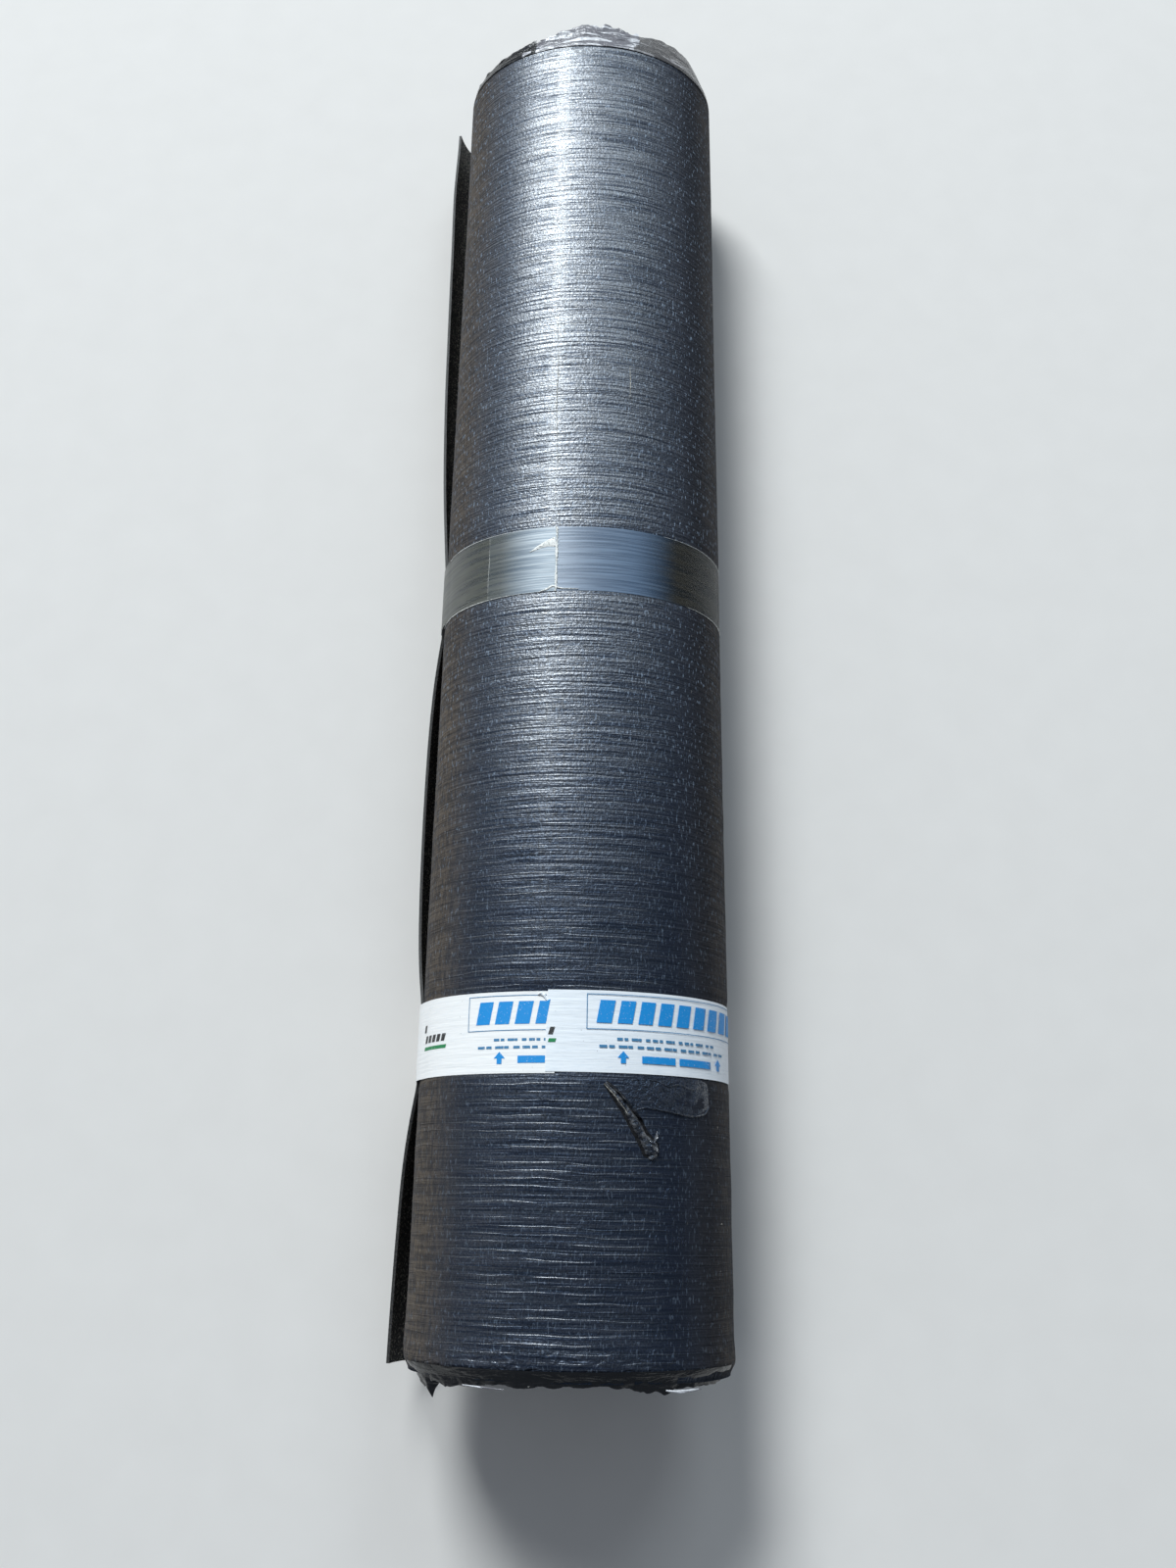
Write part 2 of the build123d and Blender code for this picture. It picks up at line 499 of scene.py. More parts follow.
class Tree(Graph):
    """A geometry node tree."""

    def __init__(self, name):
        super().__init__(bpy.data.node_groups.new(name, "GeometryNodeTree"))
        self.tree.interface.new_socket("Geometry", in_out="OUTPUT", socket_type="NodeSocketGeometry")
        self.entry = self.node("NodeGroupInput")

    def input(self, name, value=None, kind="NodeSocketFloat"):
        socket = self.tree.interface.new_socket(name, in_out="INPUT", socket_type=kind)
        if value is not None:
            socket.default_value = value
        return Value(self, self.entry.outputs[name])

    def vector(self, x, y, z):
        return self.value("ShaderNodeCombineXYZ", x, y, z)


def winding_tree():
    """A tree that winds a sheet on an oval from its first turn to its last, with uneven ends."""
    t = Tree("wound_turns")
    inputs = [t.input(*row) for row in WINDING_INPUTS]
    half_width, half_height, pitch, thickness, length, first, last, steps = inputs[:8]
    near_recess, far_recess, wander, seed = inputs[8:]
    material = t.input("Material", kind="NodeSocketMaterial")

    turn = first + t.math("DIVIDE", t.value("GeometryNodeInputIndex"), steps)
    angle = turn * (2 * pi) - pi / 2
    inset = turn * pitch + thickness * 0.5
    x = (half_width - inset) * t.math("COSINE", angle)
    y = (half_height - inset) * t.math("SINE", angle)
    line = t.value("GeometryNodeMeshLine", (last - first) * steps + 1.0)
    line = t.value(
        "GeometryNodeStoreNamedAttribute", Geometry=line, Name="turn", Value=turn,
        data_type="FLOAT", domain="POINT",
    )
    line = t.value("GeometryNodeSetPosition", Geometry=line, Position=t.vector(x, y, 0.0))
    curve = t.value("GeometryNodeMeshToCurve", Mesh=line)
    profile = t.value("GeometryNodeCurvePrimitiveQuadrilateral", Width=thickness, Height=length)
    sheet = t.value("GeometryNodeCurveToMesh", Curve=curve, Profile_Curve=profile, Fill_Caps=True)

    kept = t.value("GeometryNodeInputNamedAttribute", Name="turn", data_type="FLOAT")
    across = t.vector(kept * 1.7 + seed, seed, 0.0)
    noise = t.value("ShaderNodeTexNoise", Vector=across, Scale=1.0, Detail=2.0, noise_dimensions="2D")
    uneven = (noise - 0.5) * wander
    is_near = t.math("GREATER_THAN", t.split(t.value("GeometryNodeInputPosition"))[2], 0.0)
    shift = is_near * (uneven - near_recess) + (1.0 - is_near) * (uneven + far_recess)
    sheet = t.value("GeometryNodeSetPosition", Geometry=sheet, Offset=t.vector(0.0, 0.0, shift))
    sheet = t.value("GeometryNodeTransform", Geometry=sheet, Rotation=(pi / 2, 0.0, 0.0))
    sheet = t.value("GeometryNodeRealizeInstances", sheet)
    t.node("NodeGroupOutput", t.value("GeometryNodeSetMaterial", Geometry=sheet, Material=material))
    return t.tree


def from_tree(name, tree, values):
    """The plain mesh that a node tree makes with these named values."""
    holder = bpy.data.objects.new(name, bpy.data.meshes.new(name))
    bpy.context.scene.collection.objects.link(holder)
    modifier = holder.modifiers.new("Nodes", "NODES")
    modifier.node_group = tree
    for item in tree.interface.items_tree:
        if item.name in values:
            modifier[item.identifier] = values[item.name]
    bpy.context.view_layer.update()
    seen = holder.evaluated_get(bpy.context.evaluated_depsgraph_get())
    mesh = bpy.data.meshes.new_from_object(seen)
    holder.modifiers.remove(modifier)
    holder.data = mesh
    return holder


class ROLL_OT_wound_turns(bpy.types.Operator):
    """Winds the turns inside the outer one, which show on both ends."""

    bl_idname = "felt_roll.wound_turns"
    bl_label = "Turns inside"

    def execute(self, context):
        r = roll()
        values = {
            "Half Width": r.half_width,
            "Half Height": r.half_height,
            "Pitch": r.pitch,
            "Thickness": r.thickness,
            "Length": roll_length,
            "First Turn": 1.0,
            "Last Turn": float(r.turns),
            "Steps per Turn": 90.0,
            "Near Recess": 3.5 * MM,
            "Far Recess": 3.0 * MM,
            "Wander": 5.0 * MM,
            "Seed": float(r.seed),
            "Material": cut_edge(),
        }
        piece = from_tree("wound_turns", winding_tree(), values)
        x, _, z = axis_place()
        for vertex in piece.data.vertices:
            vertex.co += Vector((x, (felt_low.y + felt_high.y) / 2, z))
        settle(piece, "felt", "felt_roll")
        return {"FINISHED"}


# The bands

def band_face(turn, y, height):
    """Points on a band, this high above what it lies on; y is from the near end."""
    x, z = oval(turn, skin_offset(turn) + height)
    floor = -roll().half_height - np.minimum(height, 0.4 * MM)
    return np.stack([x, y, np.maximum(z, floor)], -1) + np.array(axis_place())


def climb(turn, under, top, thickness):
    """The extra height of a band's last stretch, where it lies on its own first end."""
    way = np.sign(top - under)
    rise = np.clip(1 + way * (turn - under - way) / LAP_CLIMB, 0, 1)
    return rise * (thickness + LAP_GAP)


def label_ends():
    return turn_from_crest(LABEL_UNDER_END) - 1, turn_from_crest(LABEL_TOP_END)


def tape_ends():
    return turn_from_crest(TAPE_UNDER_END), turn_from_crest(TAPE_TOP_END) - 1


def band_grids(ends, start, end, thickness, columns, rows, shift=0.0):
    """Turns, places along the roll, heights and lengths before the top end, over a whole band."""
    turn = np.linspace(*ends, columns)
    base = bands().clearance + climb(turn, *ends, thickness)
    length = run_length(*oval(turn, skin_offset(turn)))
    turn, y = np.meshgrid(turn, np.linspace(start, end, rows))
    y = y + shift * (np.linspace(0, 1, columns) - 0.5)
    return turn, y, np.broadcast_to(base, turn.shape), np.broadcast_to(length - length[-1], turn.shape)


def band_shell(turn, y, low, thickness, length):
    """A band of this thickness whose under side lies this high."""
    front, back = band_face(turn, y, low + thickness), band_face(turn, y, low)
    return shell(front, back, np.stack([length, y], -1))


class ROLL_OT_paper_label(bpy.types.Operator):
    """Wraps the paper label round the roll."""

    bl_idname = "felt_roll.paper_label"
    bl_label = "Paper label"

    def execute(self, context):
        thickness = bands().paper_thickness
        ends = label_ends()
        turn, y, base, length = band_grids(ends, label_start, label_end, thickness, 200, 22, 1 * MM)
        seed = roll().seed + 40
        ragged = 0.9 * MM * layered_noise(y * 260, y * 0, seed, 3) * smooth_step(-0.012, 0, turn - ends[1])
        turn = turn + ragged / GIRTH
        cockle = 0.12 * MM * (1 + layered_noise(length * 40, y * 60, seed + 3, 3))
        made = band_shell(turn, y, base + cockle, thickness, length)
        curl = [(-22.4, 220.8), (-20.4, 221.8), (-18.4, 220.4), (-17.0, 217.6)]
        curl = raised_strip(curl, (0.5, 2.4, 2.0, 0.6), (0.2, 1.1, 0.9, 0.2), 0.8, 40, 0.6, 49)
        make_piece("paper_label", joined([made, curl]), label_paper(), "label_paper", "paper_label_band")
        return {"FINISHED"}


# Print on the label: places are lengths along the band from the crest and up from its near edge

INK_LIFT = np.array([0, 0, 0.02 * MM])
BOX_LINE = 0.45
BLURB_WIDTHS = (3.6, 2.4, 4.4, 1.8, 3.0)


def label_point(arc, up):
    """A point just above the label's face."""
    on_top = np.asarray(arc) > LABEL_TOP_END
    thickness = bands().paper_thickness
    base = bands().clearance + np.where(on_top, thickness + LAP_GAP, 0)
    shift = np.where(on_top, 0.5, -0.5) * MM
    return band_face(turn_from_crest(arc), label_start + shift + up, base + thickness + 0.28 * MM)


def print_patch(arc_low, arc_high, up_low, up_high, lean=0.0):
    """A rectangle of ink that follows the label."""
    steps = max(2, int(abs(arc_high - arc_low) / (3 * MM)) + 2)
    arc, up = np.meshgrid(np.linspace(arc_low, arc_high, steps), np.linspace(up_low, up_high, 2))
    points = label_point(arc + lean * (up - up_low), up)
    return shell(points + INK_LIFT, points, np.stack([arc, up], -1))


def print_arrow(arc, up, size):
    """A plain arrow that points up the label."""
    head = [(-0.5, 0.45), (0.5, 0.45), (0.0, 1.0)]
    stem = [(-0.22, 0.0), (0.22, 0.0), (0.22, 0.46), (-0.22, 0.46)]
    parts = []
    for outline in (head, stem):
        places = [(arc + x * size, up + y * size) for x, y in outline]
        low = np.array([label_point(a, u) for a, u in places])
        count = len(outline)
        faces = [tuple(range(count)), tuple(range(2 * count - 1, count - 1, -1))]
        faces += [(i, (i + 1) % count, (i + 1) % count + count, i + count) for i in range(count)]
        flat = np.array(places + places)
        parts.append((np.concatenate([low + INK_LIFT, low]), faces, np.zeros(len(faces), int), flat))
    return parts


def print_set(start, low, high):
    """One repeat of the label's print, cut off where the paper ends: parts for each ink."""
    strong, line, green, dark = [], [], [], []

    def bar(ink, first, last, bottom, top, lean=0.0):
        first, last = max(start + first * MM, low), min(start + last * MM, high)
        if last - first > 0.3 * MM:
            ink.append(print_patch(first, last, bottom * MM, top * MM, lean))

    def bars(ink, count, first, step, width, bottom, top, lean=0.0):
        for i in range(count):
            bar(ink, first + step * i, first + width + step * i, bottom, top, lean)

    bar(line, 0, 128, 47.4, 47.4 + BOX_LINE)
    bar(line, 0, 128, 26.0, 26.0 + BOX_LINE)
    bar(line, 0, BOX_LINE, 26.0, 47.4)
    bar(line, 128 - BOX_LINE, 128, 26.0, 47.4)
    bars(strong, 9, 6, 13.2, 9.5, 30.0, 44.0, 0.18)
    for i in range(16):
        width = BLURB_WIDTHS[i % len(BLURB_WIDTHS)]
        bar(line, 19 + 4.6 * i, 19 + 4.6 * i + width, 19.6, 21.2)
        bar(line, 8 + 6.0 * i, 8 + 6.0 * i + width + 1.2, 15.0, 16.6)
    bar(strong, 35, 58, 6.2, 10.6)
    bar(strong, 61, 88, 6.2, 10.6)
    for place in (23, 97):
        if low < start + place * MM < high:
            strong += print_arrow(start + place * MM, 5.8 * MM, 7.4 * MM)
    bar(green, -46, -19, 17.8, 20.0, 0.3)
    bars(dark, 5, -45, 5.2, 3.6, 22.4, 27.0, 0.3)
    bars(dark, 3, -58, 5.2, 3.6, 29.4, 34.0, 0.3)
    return strong, line, green, dark


class ROLL_OT_label_print(bpy.types.Operator):
    """Prints plain bars, boxes and arrows on the label."""

    bl_idname = "felt_roll.label_print"
    bl_label = "Label print"

    def execute(self, context):
        top_piece = print_set(-69.1 * MM, -200 * MM, -16.9 * MM)
        sets = [print_set(8.1 * MM, -15.4 * MM, 170 * MM), top_piece]
        inks = [
            ("label_print_strong", ink("ink_strong", colours().ink)),
            ("label_print_lines", ink("ink_lines", (0.05, 0.20, 0.38))),
            ("label_print_green", ink("ink_green", (0.01, 0.22, 0.07))),
            ("label_print_dark", ink("ink_dark", (0.03, 0.03, 0.03))),
        ]
        for kind, (name, look) in enumerate(inks):
            parts = [part for chosen in sets for part in chosen[kind]]
            make_piece(name, joined(parts), look, "label_paper")
        return {"FINISHED"}


class ROLL_OT_clear_tape(bpy.types.Operator):
    """Wraps the clear tape round the roll, with its crinkled last end."""

    bl_idname = "felt_roll.clear_tape"
    bl_label = "Clear tape"

    def execute(self, context):
        thickness = bands().tape_thickness
        ends = tape_ends()
        turn, y, base, length = band_grids(ends, tape_start, tape_end, thickness, 240, 34)
        tooth, depth = 3.1 * MM, 1.5 * MM
        zigzag = np.abs((y / tooth) % 1 - 0.5) * 2 * depth
        zigzag = zigzag + 0.5 * MM * layered_noise(y * 300, y * 0, roll().seed + 50, 2)
        last = smooth_step(0, 1, np.clip((ends[1] + LAP_CLIMB - turn) / LAP_CLIMB, 0, 1))
        turn = turn - zigzag / GIRTH * last
        right = smooth_step(0.33, 0.22, turn) * smooth_step(0.02, 0.1, turn)
        creases = np.abs(layered_noise(length * 16, y * 190, roll().seed + 52, 2))
        height = base + 0.1 * MM + 0.35 * MM * right * (1 - creases) ** 3
        made = band_shell(turn, y, height, thickness, length)
        lap = ends[0] + np.sign(ends[1] - ends[0])
        overlap = -float(np.interp(-lap, -turn[0], length[0]))
        make_piece("clear_tape", made, clear_tape(overlap), "clear_tape", "clear_tape_band")
        return {"FINISHED"}


# Narrow raised strips that follow the roll's face: tears, folds and edges

STRIP_BASE = -0.15


def face_point(arc, y, height):
    """Points this high above the roll's uneven face; past its ends they follow its rim."""
    turn = turn_from_crest(arc)
    return band_face(turn, y, height + relief(arc, np.clip(y, 0, roll_length), turn))


def raised_shell(arc, y, front, back):
    """A closed shell over places on the roll's face, between two heights."""
    plane = np.stack([arc, y], -1)
    return shell(face_point(arc, y, front), face_point(arc, y, back), plane)


def spread(values, count):
    """Evenly placed values drawn out over this many places."""
    return np.interp(np.linspace(0, 1, count), np.linspace(0, 1, len(values)), values)


def raised_strip(path, widths, heights, base, steps=60, roughness=0, seed=0):
    """A lens-shaped strip along points of (length from the crest, length from the near end), in mm."""
    line = smooth_line(path, steps)
    width, height = spread(widths, steps) * MM, spread(heights, steps) * MM
    way = np.gradient(line, axis=0)
    way = way / np.linalg.norm(way, axis=1, keepdims=True)
    side = np.stack([-way[:, 1], way[:, 0]], -1)
    across = np.linspace(-1, 1, 9)
    flat = line[:, None] + side[:, None] * (across[None, :, None] * width[:, None, None] / 2)
    crown = height[:, None] * (1 - across[None] ** 2)
    arc, y = flat[..., 0], flat[..., 1]
    crown = crown * (1 + roughness * layered_noise(arc * 420, y * 420, seed + 90, 3))
    return raised_shell(arc, y, base * MM + crown + 0.04 * MM, np.full(crown.shape, base * MM))


def smooth_line(points, count):
    """A smooth line through a few points in mm, by repeated corner cutting of a fine polyline."""
    points = np.array(points, float) * MM
    line = np.stack([spread(points[:, i], count) for i in range(2)], -1)
    for _ in range(count // 6):
        line[1:-1] = (line[:-2] + 2 * line[1:-1] + line[2:]) / 4
    return line


def strips(rows):
    """One set of parts from rows of raised_strip's values."""
    return joined([raised_strip(*row) for row in rows])


class ROLL_OT_tape_creases(bpy.types.Operator):
    """Adds the tape's pale edges, its torn end, its fold and its kink."""

    bl_idname = "felt_roll.tape_creases"
    bl_label = "Tape creases"

    def execute(self, context):
        start, end = tape_start / MM, tape_end / MM
        above = 0.62
        seam = [(-17.8 + (0.9 if i % 2 else -0.5), start + (end - start) * i / 32) for i in range(33)]
        fold = [(-37, 531.5), (-30, 535), (-24, 537.4), (-18.5, 538.2)]
        kink = [(-30, 499.6), (-24, 501.4), (-20, 504), (-14, 501.6), (-2, 501.2)]
        under = [(-69, end - 1), (-68.6, end - 20), (-69, start + 16), (-68.7, start + 1)]
        far_left = [(-128, end), (-100, end), (-60, end), (-20, end)]
        near_left = [(-128, start), (-100, start), (-60, start), (-30, start)]
        far_right = [(60, end), (90, end + 0.3), (110, end), (135, end)]
        near_right = [(80, start), (105, start), (135, start)]
        rows = [
            (seam, (1.1, 2.1, 0.8, 2.2, 1, 1.7), (0.35, 0.5, 0.4), above, 200, 0.9),
            (fold, (0.4, 3, 5, 8), (0.2, 0.5, 0.5, 0.4), above, 50, 0.6),
            (kink, (0.6, 1.6, 1.8, 1, 0.4), (0.2, 0.5, 0.4, 0.2), above, 60, 0.6),
            (under, (0.2, 0.35, 0.2), (0.08, 0.12, 0.08), 0.45, 60, 0.5),
            (far_left, (0.7, 0.5, 0.3), (0.2, 0.2, 0.1), 0.4, 120, 0.6),
            (near_left, (0.8, 0.6, 0.3), (0.2, 0.2, 0.1), 0.4, 120, 0.6),
            (far_right, (0.2, 0.4, 0.7), (0.1, 0.2, 0.3), 0.3, 120, 0.8),
            (near_right, (0.2, 0.4, 0.8), (0.1, 0.2, 0.3), 0.3, 120, 0.8),
        ]
        make_piece("tape_creases", strips(rows), tape_crease(), "clear_tape")
        return {"FINISHED"}


class ROLL_OT_scuffs(bpy.types.Operator):
    """Adds the torn strip with a dull black strip under it, bare bitumen and painted shadow, the rucked film
    beside it, a few pale marks and a painted highlight along the torn strip's left edge.
    """

    bl_idname = "felt_roll.scuffs"
    bl_label = "Tear and creases"

    def execute(self, context):
        base = STRIP_BASE
        torn = [(20, 168), (27, 160.5), (34, 152), (39, 144), (44, 136), (49, 129), (51.8, 124.5)]
        lip = [(21, 168), (29, 161), (37, 152), (43.5, 146)]
        lump = [(45, 137), (50, 132), (50.5, 128), (48.5, 123.5)]
        edge = [(46, 127), (47.5, 131), (52, 136), (53, 140)]
        wide, tall = (2, 4.2, 5, 6.4, 5.6, 9, 4), (0.8, 2.2, 2.4, 3.2, 2.8, 3.8, 1.2)
        rows = [
            (torn, wide, tall, base, 110, 0.3, 1),
            (lip, (0.8, 1.6, 2.2, 0.7), (1.6, 3.6, 4.2, 1.4), base, 70, 0.3, 2),
            (lump, (3, 6, 8, 3), (1.4, 3.4, 3, 1), base, 70, 1, 3),
            (edge, (0.6, 1.2, 1.4, 0.6), (1, 2.6, 2.6, 0.8), base, 50, 0.4, 6),
        ]
        look = torn_film("torn_strip", (0.004, 0.004, 0.006), (0.09, 0.088, 0.088))
        make_piece("torn_strip", strips(rows), look, "felt")
        # Painted shadow: a wider dull black strip under the torn strip, bare bitumen in the tear and shadow
        # beside it
        tear_shadow = raised_strip(torn, (4, 8, 9.5, 11, 11, 15, 7), (0.3, 0.42, 0.42, 0.3), base, 110, 0.2, 7)
        make_piece("torn_strip_shadow", tear_shadow, bare_bitumen(), "felt")

        crease = [(38, 152), (45, 154), (58, 152.5), (68, 151), (80, 150), (90, 152), (95, 157)]
        wide, tall = (0.8, 1.5, 1.5, 1.7, 1.4, 0.8), (0.3, 0.9, 1.1, 1.2, 0.8, 0.3)
        upper = [(34, 170), (52, 170.5), (60, 167), (68, 169), (78, 166), (88, 169)]
        low = [(36, 152), (46, 154), (58, 152.5), (70, 151), (84, 151), (94, 156)]
        high = [(30, 172), (46, 173), (60, 173), (74, 173), (86, 173), (93, 171)]
        parts = [
            raised_strip(crease, wide, tall, base, 120, 0.4, 4),
            raised_strip(upper, (0.6, 1.2, 1, 1.4, 0.6), (0.2, 0.7, 0.8, 0.8, 0.2), base, 90, 0.5, 5),
            raised_patch(low, high, 0.1, 0.45, seed=31),
        ]
        look = torn_film("torn_film", (0.004, 0.005, 0.009), (0.01, 0.012, 0.02))
        make_piece("torn_film", joined(parts), look, "felt")

        marks = [
            [(33.2, 687), (33.7, 674), (33.5, 660)],
            [(120.8, 784), (122, 787), (123.5, 788)],
            [(-16, 454), (-15, 457), (-14, 460)],
            [(-118.5, 110), (-117.5, 110.4), (-116.6, 110)],
            [(106.2, 87), (107, 87.6), (107.8, 87)],
            [(-21, 723), (-19.6, 690), (-20.4, 650), (-18.4, 597)],
        ]
        wide, tall = (0.2, 0.7, 0.3), (0.05, 0.16, 0.08)
        rows = [(mark, wide, tall, base + 0.2, 60, 0.9, 40 + i) for i, mark in enumerate(marks)]
        # Painted highlight: a pale strip along the torn strip's left edge
        painted_highlight_edge = [(19, 167), (25.5, 160.4), (32, 152.2), (36, 145.5)]
        rows.append((painted_highlight_edge, (0.3, 1, 0.8, 0.2), (0.3, 0.6, 0.5, 0.2), 1, 60, 0.6, 48))
        make_piece("flecks_and_highlight", strips(rows), fleck(), "felt")
        return {"FINISHED"}


# The film that sticks out past both ends

FILM_UNDER = 7 * MM


def film_strip(arc_low, arc_high, reach, y_edge, seed, crumple, drop, columns, tatter=0.16):
    """A crinkled strip from the sheet's edge outwards; reach gives its length at even places."""
    rows = 16
    way = 1 if y_edge else -1
    arc, share = np.meshgrid(np.linspace(arc_low, arc_high, columns) * MM, np.linspace(0, 1, rows))
    out = np.broadcast_to(spread(reach, columns) * MM, arc.shape)
    ragged = 1 + tatter * layered_noise(arc * 130, arc * 0, seed, 3) * share
    y = y_edge + way * (share * (out + FILM_UNDER) * ragged - FILM_UNDER)
    folds = layered_noise(arc * 120 + share * 0.8, share * 3, seed + 2, 3)
    height = 0.5 * MM + folds * crumple * MM * share - drop * MM * share**2
    return raised_shell(arc, y, height + 0.06 * MM, height - 0.06 * MM)


def raised_patch(lower, upper, height, crumple, steps=90, rows=22, seed=0):
    """A rucked patch between two lines of (length from the crest, length from the near end), in mm."""
    share = np.linspace(0, 1, steps)
    low, high = smooth_line(lower, steps), smooth_line(upper, steps)
    up = np.linspace(0, 1, rows)
    flat = low[:, None] + (high - low)[:, None] * up[None, :, None]
    crown = np.minimum(1, 6 * up * (1 - up))[None] * (4 * share * (1 - share))[:, None]
    arc, y = flat[..., 0], flat[..., 1]
    rucks = layered_noise(arc * 160, y * 330, roll().seed + seed, 3)
    rise = crown * (height + crumple * np.clip(rucks, -0.6, 1)) * MM
    return raised_shell(arc, y, rise, np.full(rise.shape, -0.2 * MM))


class ROLL_OT_film_edges(bpy.types.Operator):
    """Adds the thin film that stands past the sheet at both ends."""

    bl_idname = "felt_roll.film_edges"
    bl_label = "Film edges"

    def execute(self, context):
        far, seed = roll_length, roll().seed
        silver = film_look("film_silver", (0.17, 0.165, 0.185), (0.8, 0.8, 0.83), 0.1, 0.92, 3 * MM)
        brown = film_look("film_brown", (0.105, 0.1, 0.1), (0.42, 0.41, 0.42), 0.03, 0.8, 1.4 * MM)
        dark = film_look("film_dark", (0.006, 0.006, 0.007), (0.03, 0.029, 0.028), 0, 1, 1.6 * MM)
        folded = film_strip(-112, -46, (1.5, 2.5, 3, 4, 5, 7), far, seed + 58, 1, 1, 90)
        crinkled = film_strip(-58, 40, (3, 6, 9, 13, 17, 17, 14, 12), far, seed + 60, 2.2, 1, 150)
        smooth = film_strip(30, 120, (11, 15, 18, 19, 17, 10, 2), far, seed + 64, 0.6, 3, 150, 0.03)
        make_piece("film_far_dark", folded, dark, "felt")
        make_piece("film_far_crinkled", crinkled, silver, "felt")
        make_piece("film_far_smooth", smooth, brown, "felt")
        # The near bits are near black and opaque: painted shade of the roll's shadow on the film
        bits = [
            film_strip(-114, -90, (3, 8, 6, 11, 4), 0, seed + 70, 2, 7, 60),
            film_strip(-92, -50, (3, 5, 3, 2), 0, seed + 74, 1.2, 2, 70),
            film_strip(-52, 40, (1, 2, 2, 1, 2), 0, seed + 78, 0.8, 1, 90),
            film_strip(38, 68, (2, 5, 6, 3), 0, seed + 82, 1, 1.5, 60),
            film_strip(66, 116, (2, 3, 2, 3, 1), 0, seed + 86, 1, 2, 60),
        ]
        make_piece("film_near", joined(bits), dark, "felt")
        # Pale bits of film at the near rim, whose pale streaks are partly painted highlights
        left, right = [(-64, -2.4), (-50, -3), (-37, -3.6)], [(60, -3.6), (70, -4.8), (86, -4)]
        rows = [
            (left, (0.4, 1.1, 0.5), (0.2, 0.3, 0.2), 0.6, 60, 0.5, 90),
            (right, (0.8, 2, 1.1), (0.2, 0.3, 0.2), 0.2, 60, 0.7, 92),
        ]
        make_piece("film_near_pale", strips(rows), silver, "felt")
        return {"FINISHED"}


# Materials

RIB_STEP = 4.6 * MM
RING_STEP = 2.9 * MM
BLUE_GLOSS = (0.45, 0.66, 1)


class Shade(Graph):
    """A node material around one main shader."""

    def __init__(self, name):
        self.material = bpy.data.materials.new(name)
        self.material.use_nodes = True
        super().__init__(self.material.node_tree)

    def main(self, **values):
        """Sets the main shader's inputs and gives the material."""
        shader = self.tree.nodes["Principled BSDF"]
        for key, value in values.items():
            self.set(shader.inputs[key.replace("_", " ")], value)
        return self.material

    def flat(self, x=1, y=1):
        """The piece's flat map, in metres, stretched along and across."""
        source = self.value("ShaderNodeUVMap", uv_map="Flat")
        return self.value("ShaderNodeMapping", Vector=source, Scale=(x, y, 1))

    def object(self):
        return self.outputs("ShaderNodeTexCoord")["Object"]

    def facing(self):
        """How far a face is turned to the roll's right side: 1 is fully, and -1 is to its left."""
        return self.split(self.outputs("ShaderNodeTexCoord")["Normal"])[0]

    def noise(self, scale, detail=2, roughness=0.5, distortion=0, place=None):
        """Noise in the piece's own space, or over another place."""
        place = place or self.object()
        settings = {"Scale": scale, "Detail": detail, "Roughness": roughness, "Distortion": distortion}
        return self.value("ShaderNodeTexNoise", Vector=place, **settings)

    def streaks(self, x, y, detail=2, roughness=0.5, distortion=0):
        """Noise over the flat map, this often in a metre along and across."""
        return self.noise(1, detail, roughness, distortion, self.flat(x, y))

    def span(self, value, low, high, to_low=0, to_high=1):
        """A smooth step from one value to another where the given one goes from low to high."""
        values = (value, low, high, to_low, to_high)
        return self.value("ShaderNodeMapRange", *values, interpolation_type="SMOOTHSTEP")

    def mix(self, share, first, second):
        node = self.node("ShaderNodeMix", data_type="RGBA")
        for index, value in ((0, share), (6, first), (7, second)):
            self.set(node.inputs[index], value)
        return Value(self, node.outputs[2])

    def bump(self, height, distance):
        return self.value("ShaderNodeBump", Height=height, Distance=distance, Strength=1)


